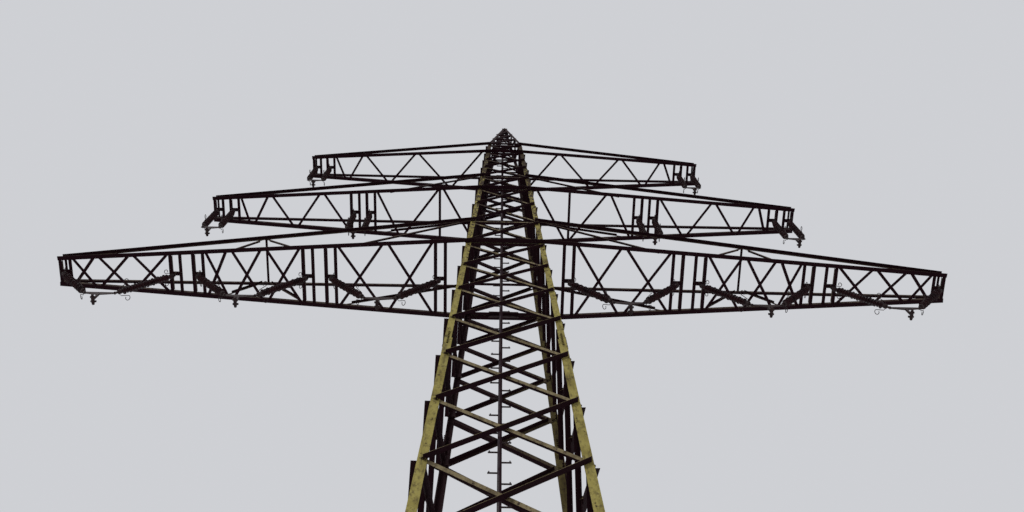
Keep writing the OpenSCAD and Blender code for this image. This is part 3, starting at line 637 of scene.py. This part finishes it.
def add_brace_bolts(mesh, spin, ahead, z0, z1):
    """Bolts of one panel: two at each brace end, one where the braces cross."""
    x0 = half_at(z0) - leg_width_at(z0) / 2
    x1 = half_at(z1) - leg_width_at(z1) / 2
    brace = SEAT + BRACE_WALL
    for way in (1, -1):
        a = face_point(-way * x0, z0)
        b = face_point(way * x1, z1)
        run = (b - a).normalized()
        for base, z, sign in ((a, z0, 1), (b, z1, -1)):
            front = brace if way > 0 else 0
            back = leg_wall_at(z) + (0 if way > 0 else brace)
            for step in BRACE_STEPS:
                add_bolt_pair(mesh, spin @ (base + run * sign * step), ahead, front, back)
    crossing = face_point(0, z0 + (z1 - z0) * x0 / (x0 + x1))
    add_bolt_pair(mesh, spin @ crossing, ahead, brace, leg_wall_at(z0) + brace)


def add_face_bolts(mesh, turn):
    """Bolts of one face of the body, of its splices and of one base plate."""
    spin = Matrix.Rotation(math.radians(turn), 4, "Z")
    ahead = spin.to_3x3() @ FACE_OUT
    for z0, z1 in PANELS:
        add_brace_bolts(mesh, spin, ahead, z0, z1)
    for end in (-1, 1):
        for step in SPLICE_STEPS:
            z = SPLICE_HEIGHT + step
            point = face_point(end * (half_at(z) - SPLICE_INSET), z)
            add_bolt_pair(mesh, spin @ point, ahead, 0, SPLICE_WALL)
    corner = half_at(FOOTING_HEIGHT) - LEG_WIDTH / 2
    for dx in ANCHOR_STEPS:
        for dy in ANCHOR_STEPS:
            top = Vector((dx - corner, dy - corner, FOOTING_HEIGHT + SEAT + SHOE_WALL))
            add_bolt(mesh, spin @ top, UP, ANCHOR_RADIUS)


for label, turn in (("front", 0), ("right", 90), ("back", 180), ("left", 270)):
    bolts = bmesh.new()
    add_face_bolts(bolts, turn)
    finish_mesh(bolts, f"bolts_{label}", "leg_paint", "tower")

# Bolts of the crossarms: steps along a chord, heights on it, and insets from an edge
LAP_STEPS = (0.025, 0.060)
LAP_RISES = (0.030, 0.065)
ROOT_RISES = (-0.030, -0.058)
TIP_STEPS = (0.060, 0.130, 0.200, 0.270)
TIP_INSET = 0.020
TIP_RISE = 0.055
TIP_ROOT_RISE = -0.045
TRUSS_SLIP = 0.001
BAR_INSET = 0.030
BAR_SINK = 0.002
PAD_INSET = 0.025
PAD_SINK = 0.0044
PAD_STACK = 0.0164


def add_chord_bolts(mesh, level, sign, way):
    """Bolts of one floor chord and of the upper chord above it, at the leg and at the tip."""
    tip = REACHES[level] - TIP_INSET
    floor_spots = [(half_at(FLOORS[level]) - step, rise) for step in LAP_STEPS for rise in LAP_RISES]
    root_spots = [(half_at(ROOTS[level]) - step, rise) for step in LAP_STEPS for rise in ROOT_RISES]
    for x, rise in floor_spots + [(tip - step, TIP_RISE) for step in TIP_STEPS]:
        y = way * (floor_y(level, x) + CHORD_WALL)
        add_bolt(mesh, Vector((sign * x, y, FLOORS[level] + rise)), ALONG_LINE * way)
    for x, rise in root_spots + [(tip - step, TIP_ROOT_RISE) for step in TIP_STEPS]:
        y = way * (root_y(level, x) + CHORD_WALL + TRUSS_SLIP)
        add_bolt(mesh, Vector((sign * x, y, root_z(level, x) + rise)), ALONG_LINE * way)


def add_hanger_bolts(mesh, level, sign, way):
    """Bolts of the paired floor bars on one chord, and of the hangers' pads under them."""
    for hanger in hanger_places(level):
        for k in (-1, 1):
            x = hanger + k * (PAIR_GAP + HANGER_BAR) / 2
            y = way * (floor_y(level, x) - BAR_INSET)
            under = Vector((sign * x, y, FLOORS[level] + CHORD_WALL - BAR_SINK))
            add_bolt_pair(mesh, under, UP, RAIL_WALL, 0)
            x = hanger + k * (PAIR_GAP / 2 + PAD_INSET)
            under = Vector((sign * x, way * PAD_INSET, FLOORS[level] - PAD_SINK))
            add_bolt_pair(mesh, under, UP, PAD_STACK, 0)


for level, row in enumerate(LEVELS):
    for label, sign in (("right", 1), ("left", -1)):
        bolts = bmesh.new()
        for way in (-1, 1):
            add_chord_bolts(bolts, level, sign, way)
            add_hanger_bolts(bolts, level, sign, way)
        finish_mesh(bolts, f"bolts_{row}_{label}", "arm_paint", "tower")

# Round rungs over the climbing pole's steps
RUNG_RADIUS = 0.0135
RUNG_PAST_TIP = 0.010
RUNG_SIDES = 10


def add_rungs(mesh):
    """Rod round each step, from the pole's flange to a little past the upturned tip."""
    count = int((POLE_HEAD - POLE_FOOT - STEP_FIRST - STEP_LAST) / STEP_PITCH)
    for k in range(count + 1):
        way = -1 if k % 2 == 0 else 1
        start = POLE_WIDTH - POLE_LEFT if way > 0 else -POLE_LEFT
        a = Vector((start, POLE_WALL / 2, POLE_FOOT + STEP_FIRST + k * STEP_PITCH))
        b = a + Vector((way * (STEP_LENGTH + RUNG_PAST_TIP), 0, 0))
        add_rod(mesh, [a, b], RUNG_RADIUS, RUNG_SIDES)


rungs = bmesh.new()
add_rungs(rungs)
finish_mesh(rungs, "rungs", "fittings", "tower")

# Girts that carry the crossarms' chords on across the front and back faces of the body
GIRT_CLEAR = 0.004
GIRT_PLATE_HALF = 0.170
GIRT_PLATE_SIDE = 0.034
GIRT_PLATE_WALL = 0.008
GIRT_STEPS = (-0.135, -0.085, -0.035, 0.035, 0.085, 0.135)


def add_girt(mesh, level, way):
    """Angle between the inner ends of two floor chords, with a bolted plate under each end."""
    end = half_at(FLOORS[level]) - CHORD_LAP
    heel = way * floor_y(level, end)
    start = Vector((-way * (end - GIRT_CLEAR), -heel, FLOORS[level]))
    stop = Vector((way * (end - GIRT_CLEAR), -heel, FLOORS[level]))
    add_angle(mesh, start, stop, UP, CHORD_WIDTH, CHORD_WALL)
    low = (-GIRT_PLATE_HALF, -GIRT_PLATE_SIDE, -GIRT_PLATE_WALL)
    high = (GIRT_PLATE_HALF, GIRT_PLATE_SIDE, 0)
    for side in (-1, 1):
        middle = Vector((side * end, -heel - way * CHORD_WIDTH / 2, FLOORS[level] - SEAT))
        add_box(mesh, Matrix.Translation(middle), low, high)
        for step in GIRT_STEPS:
            point = middle + Vector((step, 0, 0))
            add_bolt_pair(mesh, point, UP, CHORD_WALL + SEAT, GIRT_PLATE_WALL)


girts = bmesh.new()
for level in range(len(LEVELS)):
    for way in (-1, 1):
        add_girt(girts, level, way)
finish_mesh(girts, "girts", "arm_paint", "tower")

# Floors of the right middle and top crossarms: their diagonals run against those of the left ones
BAR_PAST = 0.020
BAR_BITES = 2 * BITE
DIAGONAL_BITES = 1.5 * BITE
EYE_SIDES = 32
BAR_RIM = TWIN_HALF + (PAIR_GAP + HANGER_BAR) / 2


def chord_cuts(level, grow):
    """Planes along both floor chords, as far outside their inner faces as is given."""
    slope = floor_y(level, 1) - floor_y(level, 0)
    return [(Vector((0, way * (floor_y(level, 0) + grow), 0)), Vector((-slope, way, 0)).normalized())
            for way in (-1, 1)]


def add_floor_rail(mesh, level, a, b, width, side=1):
    """Angle from chord to chord, its upright flange cut back from theirs."""
    add_angle(
        mesh, a, b, UP, width, RAIL_WALL, side,
        chord_cuts(level, CHORD_WALL / 2), chord_cuts(level, -CUTBACK),
    )


def add_floor_bar(mesh, level, x, width, side):
    """Rail straight across the floor."""
    z = FLOORS[level] + CHORD_WALL - BAR_BITES
    y = floor_y(level, x) + BAR_PAST
    add_floor_rail(mesh, level, Vector((x, -y, z)), Vector((x, y, z)), width, side)


def add_zigzag(mesh, level, x0, x1, shares, first):
    """Diagonals by turns from chord to chord, between these shares of the stretch x0-x1."""
    z = FLOORS[level] + CHORD_WALL - DIAGONAL_BITES
    for k, (low, high) in enumerate(zip(shares, shares[1:])):
        side = first if k % 2 == 0 else -first
        near = x0 + (x1 - x0) * low + NODE_GAP
        far = x0 + (x1 - x0) * high - NODE_GAP
        a = Vector((near, -side * floor_y(level, near), z))
        b = Vector((far, side * floor_y(level, far), z))
        run = (b - a).normalized()
        past = run * RAIL_WIDTH
        aside = run.cross(UP) * RAIL_WIDTH / 2
        add_floor_rail(mesh, level, a - past - aside, b + past - aside, RAIL_WIDTH)


def add_hanger(mesh, level, x):
    """Pad under a pair of floor bars, with a tab and a round eye."""
    top = FLOORS[level] + CHORD_WALL - BAR_BITES - SEAT
    eye = FLOORS[level] - EYE_DROP
    place = shift(x, 0, 0)
    pad = (PAIR_GAP + HANGER_PAD) / 2
    add_box(mesh, place, (-pad, -HANGER_PAD / 2, top - HANGER_PAD_WALL), (pad, HANGER_PAD / 2, top))
    half = PLATE_WALL / 2
    tab = HANGER_TAB / 2
    add_box(mesh, place, (-half, -tab, eye + EYE_HOLE + BITE), (half, tab, top - BITE))
    step = 2 * math.pi / EYE_SIDES
    loops = []
    for across, radius in ((-half, EYE_HOLE), (-half, EYE_OUTER), (half, EYE_OUTER), (half, EYE_HOLE)):
        loops.append([
            mesh.verts.new((x + across, radius * math.sin(step * k), eye + radius * math.cos(step * k)))
            for k in range(EYE_SIDES)
        ])
    add_skin(mesh, loops + loops[:1])


def build_right_floor(name, replaced, level, stretches, cross_bars=()):
    """Whole floor of one right crossarm: chords, hanger bars, cross bars and diagonals."""
    mesh = bmesh.new()
    x0 = half_at(FLOORS[level])
    a = Vector((x0, -floor_y(level, x0), FLOORS[level]))
    b = Vector((REACHES[level], -floor_y(level, REACHES[level]), FLOORS[level]))
    a -= (b - a).normalized() * CHORD_LAP
    flip = Matrix.Diagonal((1, -1, 1))
    add_angle(mesh, a, b, UP, CHORD_WIDTH, CHORD_WALL)
    add_angle(mesh, flip @ a, flip @ b, UP, CHORD_WIDTH, CHORD_WALL, -1)
    for x in hanger_places(level):
        add_hanger(mesh, level, x)
        for k in (-1, 1):
            add_floor_bar(mesh, level, x + k * PAIR_GAP / 2, HANGER_BAR, k)
    for x in cross_bars:
        add_floor_bar(mesh, level, x, RAIL_WIDTH, 1)
    for stretch in stretches:
        add_zigzag(mesh, level, *stretch)
    finish_mesh(mesh, name, "arm_paint", "tower", (replaced,))


# Nodes of the diagonals, as shares of each stretch
MIDDLE_INNER_NODES = (0, 0.344, 0.742, 1)
MIDDLE_OUTER_NODES = (0, 0.257, 0.5, 0.717, 0.885, 1)
TOP_NODES = (0, 0.227, 0.447, 0.635, 0.796, 0.914, 1)
middle_start = half_at(FLOORS[1]) + RAIL_WIDTH
middle_stop = TWIN_INNER - BAR_RIM
build_right_floor(
    "floor_middle_right", "arm_middle_right_floor", 1,
    (
        (middle_start, middle_stop, MIDDLE_INNER_NODES, 1),
        (TWIN_INNER + BAR_RIM, TWIN_OUTER - BAR_RIM, MIDDLE_OUTER_NODES, 1),
    ),
    (middle_start + (middle_stop - middle_start) * MIDDLE_INNER_NODES[1],),
)
build_right_floor(
    "floor_top_right", "arm_top_right_floor", 2,
    ((half_at(FLOORS[2]) + RAIL_WIDTH, TWIN_TOP - BAR_RIM, TOP_NODES, -1),),
)

# Insulator strings: a porcelain rod with sheds between two metal caps, in metres. The small shed is a
# share of the wide one, and the shed steps are shares of the pitch
ROD_RADIUS = 0.036
ROD_END_RADIUS = 0.030
ROD_END = 0.030
COLLAR = 0.008
COLLAR_STEPS = (0.004, 0.022)
SHED_RADIUS = 0.080
SMALL_SHED = 0.86
SHED_COUNT = 16
SHED_LIP = 0.012
SHED_ROOT = 0.014
SHED_STEPS = (0.06, 0.18, 0.16, 0.28, 0.66, 0.92)
CAP_RADIUS = 0.048
CAP_LENGTH = 0.105
CAP_PROFILE = (
    (CAP_RADIUS * 0.6, 0),
    (CAP_RADIUS, 0.006),
    (CAP_RADIUS * 1.04, 0.02),
    (CAP_RADIUS * 1.04, CAP_LENGTH * 0.55),
    (CAP_RADIUS * 0.8, CAP_LENGTH * 0.8),
    (CAP_RADIUS * 0.42, CAP_LENGTH),
)
LOW_CAP = 0.075
HIGH_CAP = 0.018
ROD_LOW = 0.165
ROD_SPARE = 0.260
STEM_RADIUS = 0.018
STEM_LENGTH = 0.030
STEM_SIDES = 12


def string_profile(body):
    """Porcelain long rod with alternating sheds, as (radius, height) points."""
    collar = ROD_RADIUS + COLLAR
    ends = [(ROD_END_RADIUS, 0)] + [(collar, step) for step in COLLAR_STEPS] + [(ROD_RADIUS, ROD_END)]
    points = list(ends)
    pitch = (body - 2 * ROD_END) / SHED_COUNT
    for k in range(SHED_COUNT):
        z = ROD_END + k * pitch
        wide = SHED_RADIUS if k % 2 == 0 else SHED_RADIUS * SMALL_SHED
        radii = (ROD_RADIUS, wide - SHED_LIP, wide, wide, ROD_RADIUS + SHED_ROOT, ROD_RADIUS)
        points += [(radius, z + pitch * step) for radius, step in zip(radii, SHED_STEPS)]
    return points + [(radius, body - height) for radius, height in reversed(ends)]


def add_string(glazed, metal, place, run):
    """Rod, both caps and the stem above them, along local Z."""
    add_lathe(metal, place @ shift(0, 0, LOW_CAP), CAP_PROFILE)
    add_lathe(glazed, place @ shift(0, 0, ROD_LOW), string_profile(run - ROD_SPARE))
    flip = place @ shift(0, 0, run - HIGH_CAP) @ Matrix.Rotation(math.pi, 4, "X")
    add_lathe(metal, flip, CAP_PROFILE)
    add_prism(metal, place @ shift(0, 0, run - STEM_LENGTH), STEM_RADIUS, STEM_LENGTH, STEM_SIDES)


# Shackle round an eye: its pin, ears, arms and the bridge under them
SHACKLE_NECK = 0.060
SHACKLE_GAP = 0.001
SHACKLE_WALL = 0.009
SHACKLE_SIDE = 0.020
SHACKLE_BRIDGE = (-0.012, 0.004)
EAR_RADIUS = 0.024
PIN_RADIUS = 0.012
PIN_PAST = 0.008
PIN_SIDES = 16


def add_shackle(mesh, pin):
    """Shackle whose pin lies along the crossarm, through the eye."""
    inner = PLATE_WALL / 2 + SHACKLE_GAP
    low = SHACKLE_BRIDGE[0] - SHACKLE_NECK
    place = Matrix.Translation(pin)
    across = place @ Matrix.Rotation(math.pi / 2, 4, "Y")
    half_pin = inner + SHACKLE_WALL + PIN_PAST
    add_prism(mesh, across @ shift(0, 0, -half_pin), PIN_RADIUS, 2 * half_pin, PIN_SIDES)
    for ear in (-1, 1):
        start = ear * (inner + SHACKLE_WALL / 2) - SHACKLE_WALL / 2
        add_prism(mesh, across @ shift(0, 0, start), EAR_RADIUS, SHACKLE_WALL, PIN_SIDES)
        add_box(mesh, place, (start, -SHACKLE_SIDE, low), (start + SHACKLE_WALL, SHACKLE_SIDE, 0))
    outer = inner + SHACKLE_WALL
    high = SHACKLE_BRIDGE[1] - SHACKLE_NECK
    add_box(mesh, place, (-outer, -SHACKLE_SIDE, low), (outer, SHACKLE_SIDE, high))


FORK_BOLT_RADIUS = 0.017
FORK_BOLT_HEAD = 0.012
FORK_CENTRE = PLATE_WALL / 2 + SEAT + FORK_WALL / 2


def add_fork(mesh, place):
    """Two prongs over the yoke, each with the head of the bolt through them."""
    side = FORK_WIDTH / 2
    for ear in (-1, 1):
        centre = ear * FORK_CENTRE
        low = (centre - FORK_WALL / 2, -side, -side)
        add_box(mesh, place, low, (centre + FORK_WALL / 2, side, STRING_CAP))
        face = place @ shift(centre + ear * FORK_WALL / 2, 0, 0)
        turn = Matrix.Rotation(ear * math.pi / 2, 4, "Y")
        add_prism(mesh, face @ turn, FORK_BOLT_RADIUS, FORK_BOLT_HEAD)


# Arcing horns: where each starts on its string and how long it is, then shares of that length
LOW_HORN = 0.110
LOW_HORN_SIZE = 0.170
HIGH_HORN = 0.060
HIGH_HORN_SIZE = 0.130
HORN_ROOT = 0.4
HORN_BEND = 0.55
HORN_RISE = 0.15
HORN_LEAN = 0.2
HORN_LOOP = 0.3
HORN_RADIUS = 0.007
HORN_BENDS = 13


def add_horn(mesh, start, aside, along, size):
    """Arcing horn: a rod that leaves a cap sideways, turns along the string and ends in a small loop."""
    bend = start + aside * size * HORN_BEND
    tip = bend + along * size + aside * size * HORN_LEAN
    points = [start, start + aside * size * HORN_ROOT, bend + along * size * HORN_RISE, tip]
    loop = size * HORN_LOOP
    centre = tip + aside * loop
    for k in range(1, HORN_BENDS - 1):
        turn = math.pi + 2 * math.pi * k / HORN_BENDS
        points.append(centre + aside * loop * math.cos(turn) - along * loop * math.sin(turn))
    add_rod(mesh, points, HORN_RADIUS)


# Yoke plate and suspension clamp
YOKE_PAST = 0.040
YOKE_HALF = 0.030
YOKE_FOOT = 0.100
YOKE_FOOT_HALF = 0.045
BOAT_PROFILE = (
    (0.016, -0.110), (0.024, -0.106), (0.034, -0.060),
    (0.034, 0.060), (0.024, 0.106), (0.016, 0.110),
)
BOAT_SIDES = 20
KEEPER_STEP = 0.045
KEEPER_LOW = (-0.055, -0.016, 0.006)
KEEPER_HIGH = (0.055, 0.016, 0.042)


def add_yoke(mesh, x, z, foot_half):
    """Plate that the strings' forks hold at its ends, with the clamp's bolt at its foot."""
    end = foot_half + YOKE_PAST
    outline = (
        (-end, YOKE_HALF), (end, YOKE_HALF), (end, -YOKE_HALF),
        (YOKE_FOOT_HALF, -YOKE_FOOT), (-YOKE_FOOT_HALF, -YOKE_FOOT), (-end, -YOKE_HALF),
    )
    rings = [[mesh.verts.new((x + px, y, z + pz)) for px, pz in outline]
             for y in (PLATE_WALL / 2, -PLATE_WALL / 2)]
    add_tube(mesh, rings)


def add_clamp(mesh, axis):
    """Two straps and a boat-shaped body round the wire, with two keepers."""
    place = Matrix.Translation(axis)
    for way in (-1, 1):
        centre = way * FORK_CENTRE
        low = (-FORK_WIDTH / 2, centre - FORK_WALL / 2, 0)
        add_box(mesh, place, low, (FORK_WIDTH / 2, centre + FORK_WALL / 2, CLAMP_DROP))
        add_box(mesh, place @ shift(0, way * KEEPER_STEP, 0), KEEPER_LOW, KEEPER_HIGH)
    add_lathe(mesh, place @ Matrix.Rotation(-math.pi / 2, 4, "X"), BOAT_PROFILE, BOAT_SIDES)


def build_set(name, level, x, top_half, foot_half, length):
    """One insulator set: strings, shackles, yoke, clamp and horns."""
    glazed = bmesh.new()
    metal = bmesh.new()
    z_top = FLOORS[level] - EYE_DROP
    z_low = z_top - math.sqrt(length ** 2 - (top_half - foot_half) ** 2)
    for side in (-1, 1):
        pin = Vector((x + side * top_half, 0, z_top))
        foot = Vector((x + side * foot_half, 0, z_low))
        string = pin - UP * SHACKLE_NECK - foot
        run = string.length
        along = string.normalized()
        place = Matrix.Translation(foot) @ basis(string, ALONG_LINE)
        add_string(glazed, metal, place, run)
        add_shackle(metal, pin)
        add_fork(metal, place)
        for way in (-1, 1):
            aside = ALONG_LINE * way
            add_horn(metal, foot + along * LOW_HORN, aside, along, LOW_HORN_SIZE)
            add_horn(metal, foot + along * (run - HIGH_HORN), aside, -along, HIGH_HORN_SIZE)
    add_yoke(metal, x, z_low, foot_half)
    add_clamp(metal, Vector((x, 0, z_low - CLAMP_BOLT - CLAMP_DROP)))
    porcelain = finish_mesh(glazed, f"porcelain_{name}", "porcelain", f"set_{name}", (f"insulators_{name}",))
    for polygon in porcelain.data.polygons:
        polygon.use_smooth = True
    finish_mesh(metal, f"fittings_{name}", "fittings", f"set_{name}")


for entry in SETS:
    build_set(*entry)

# Stage: pale floor, pale background, soft light from above
SKY_BAND = (-0.25, 0.5)
SKY_LIGHT = (0.12, 0.95)
SKY_STRENGTH = 0.9
BACKDROP = (0.62, 0.63, 0.66)
SUN_STRENGTH = 1.6
SUN_ANGLE = 20
SUN_TILT = 52
SUN_TURN = -28
FLOOR_RADIUS = 60
FLOOR_WALL = 0.05
FLOOR_SIDES = 96
FLOOR_GREY = (0.55, 0.55, 0.55)
FLOOR_ROUGHNESS = 0.9


def make_world():
    """Light that grows upward; the camera and mirrored rays see a plain pale background instead."""
    g = Graph(bpy.data.worlds.new("studio"))
    bpy.context.scene.world = g.owner
    g.tree.nodes.clear()
    light = g.add("ShaderNodeBackground", Strength=SKY_STRENGTH)
    g.put(g.band(g.component("Generated", "Z"), *SKY_BAND, *SKY_LIGHT), light.inputs["Color"])
    backdrop = g.add("ShaderNodeBackground", Color=(*BACKDROP, 1), Strength=1.0)
    rays = g.add("ShaderNodeLightPath")
    seen = rays.outputs["Is Camera Ray"]
    for other in ("Is Glossy Ray", "Is Transmission Ray"):
        seen = g.combine("MAXIMUM", seen, rays.outputs[other])
    choose = g.add("ShaderNodeMixShader")
    g.put(seen, choose.inputs["Fac"])
    g.put(light.outputs["Background"], choose.inputs[1])
    g.put(backdrop.outputs["Background"], choose.inputs[2])
    output = g.add("ShaderNodeOutputWorld")
    g.put(choose.outputs["Shader"], output.inputs["Surface"])


def make_sun():
    data = bpy.data.lights.new("sun", "SUN")
    data.energy = SUN_STRENGTH
    data.angle = math.radians(SUN_ANGLE)
    sun = bpy.data.objects.new("sun", data)
    sun.rotation_euler = (math.radians(SUN_TILT), 0, math.radians(SUN_TURN))
    bpy.context.collection.objects.link(sun)


def make_floor():
    """Round plain floor with its top on the ground."""
    mesh = bmesh.new()
    add_prism(mesh, shift(0, 0, -FLOOR_WALL), FLOOR_RADIUS, FLOOR_WALL, FLOOR_SIDES)
    data = bpy.data.meshes.new("floor")
    mesh.to_mesh(data)
    mesh.free()
    floor = bpy.data.objects.new("floor", data)
    bpy.context.collection.objects.link(floor)
    paint = new_material("pale_floor")
    paint.surface(FLOOR_GREY, FLOOR_ROUGHNESS)
    data.materials.append(paint.owner)


make_camera()
make_world()
make_sun()
make_floor()
bpy.context.scene.view_settings.view_transform = "Standard"
